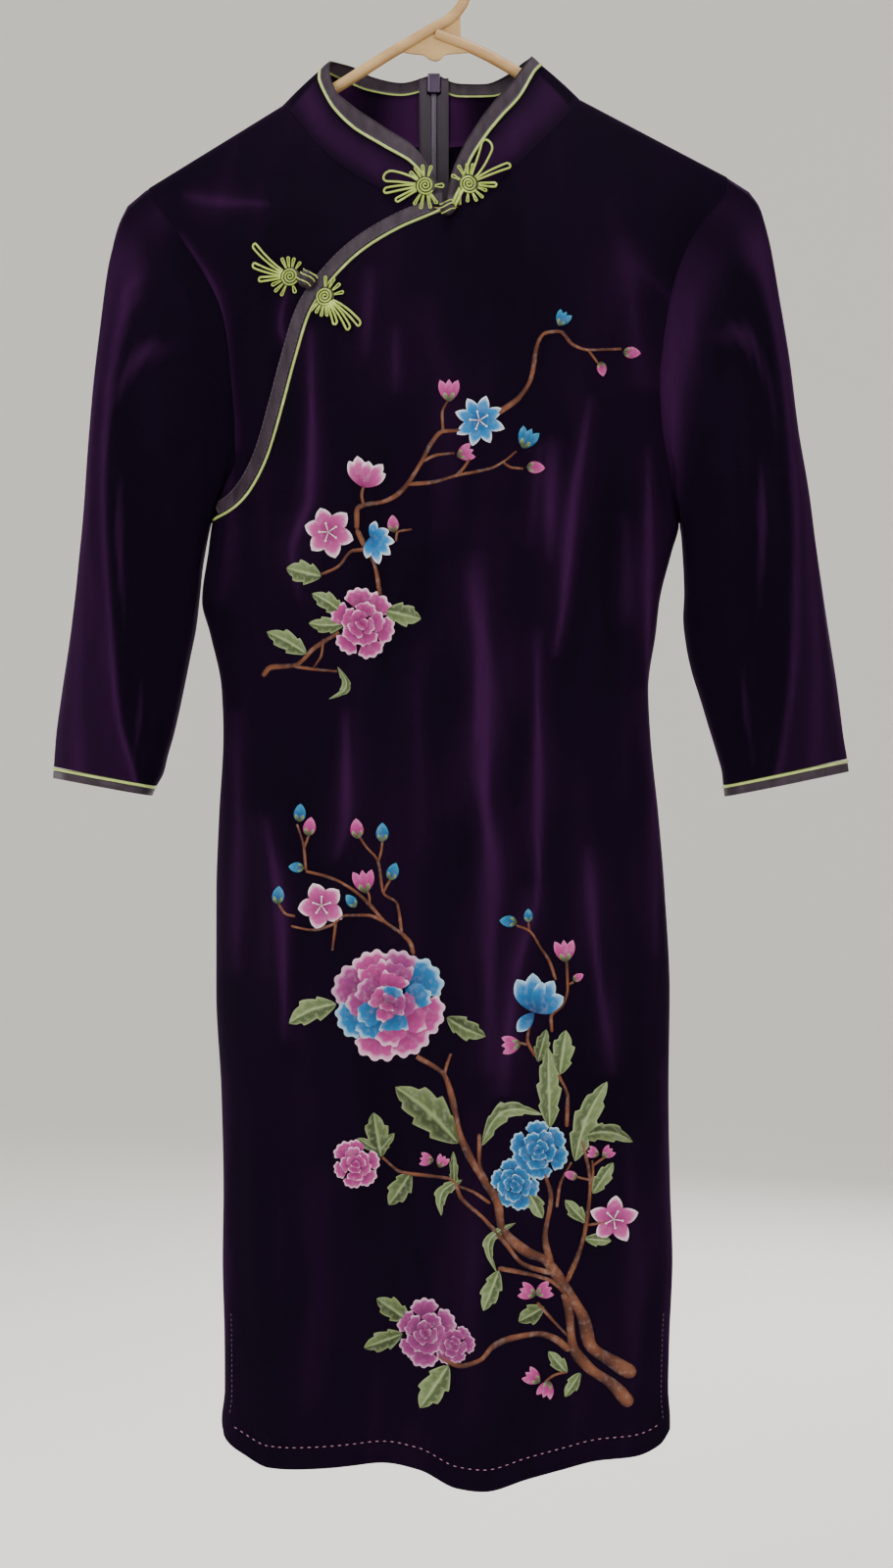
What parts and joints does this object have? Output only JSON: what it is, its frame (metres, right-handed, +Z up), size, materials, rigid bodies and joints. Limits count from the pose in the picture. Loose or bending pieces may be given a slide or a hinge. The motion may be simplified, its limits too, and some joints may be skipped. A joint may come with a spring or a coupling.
{
  "type": "cheongsam dress on a plastic tube hanger",
  "caption": "Velvet knee-length cheongsam with three-quarter sleeves, standing collar and a curved placket with flower frogs, hung on a tubular hanger.",
  "frame": {"origin": "inside top of the hanger's hook, where it rests on a rail", "axes": "+Z up, +X to the right as the front is seen, the dress's front faces -Y"},
  "size_m": [0.5606, 0.1141, 1.1069],
  "materials": {
    "velvet": "short pile, purple sheen",
    "satin": "satin",
    "piping": "satin cord",
    "frog_cord": "satin cord",
    "zip_tape": "woven",
    "zip_enamel": "gloss enamel",
    "hanger_plastic": "satin"
  },
  "bodies": {
    "dress": {"front_main": "velvet", "front_shoulder": "velvet", "back_left": "velvet", "back_right": "velvet", "sleeve_left": "velvet", "sleeve_right": "velvet", "collar_left": "velvet", "collar_right": "velvet", "collar_binding_left": "satin", "collar_binding_right": "satin", "cuff_binding_left": "satin", "cuff_binding_right": "satin", "placket_binding": "satin", "frog_top_knot": "satin", "frog_low_knot": "satin", "collar_piping_left": "piping", "collar_piping_right": "piping", "cuff_piping_left": "piping", "cuff_piping_right": "piping", "placket_piping": "piping", "frog_top_left": "frog_cord", "frog_top_right": "frog_cord", "frog_low_upper": "frog_cord", "frog_low_lower": "frog_cord", "zip_tape_left": "zip_tape", "zip_tape_right": "zip_tape", "zip_coil": "zip_tape", "zip_slider": "zip_enamel", "hanger": "hanger_plastic", "hanger_web": "hanger_plastic", "hanger_gusset": "hanger_plastic"},
    "zip_pull": {"zip_pull": "zip_enamel"}
  },
  "joints": [
    {"name": "zip_pull_hinge", "type": "hinge", "parent": "dress", "child": "zip_pull", "pos_m": [-0.009, 0.0246, -0.1145], "axis": [1, 0, 0], "range_deg": [0, 150]}
  ]
}
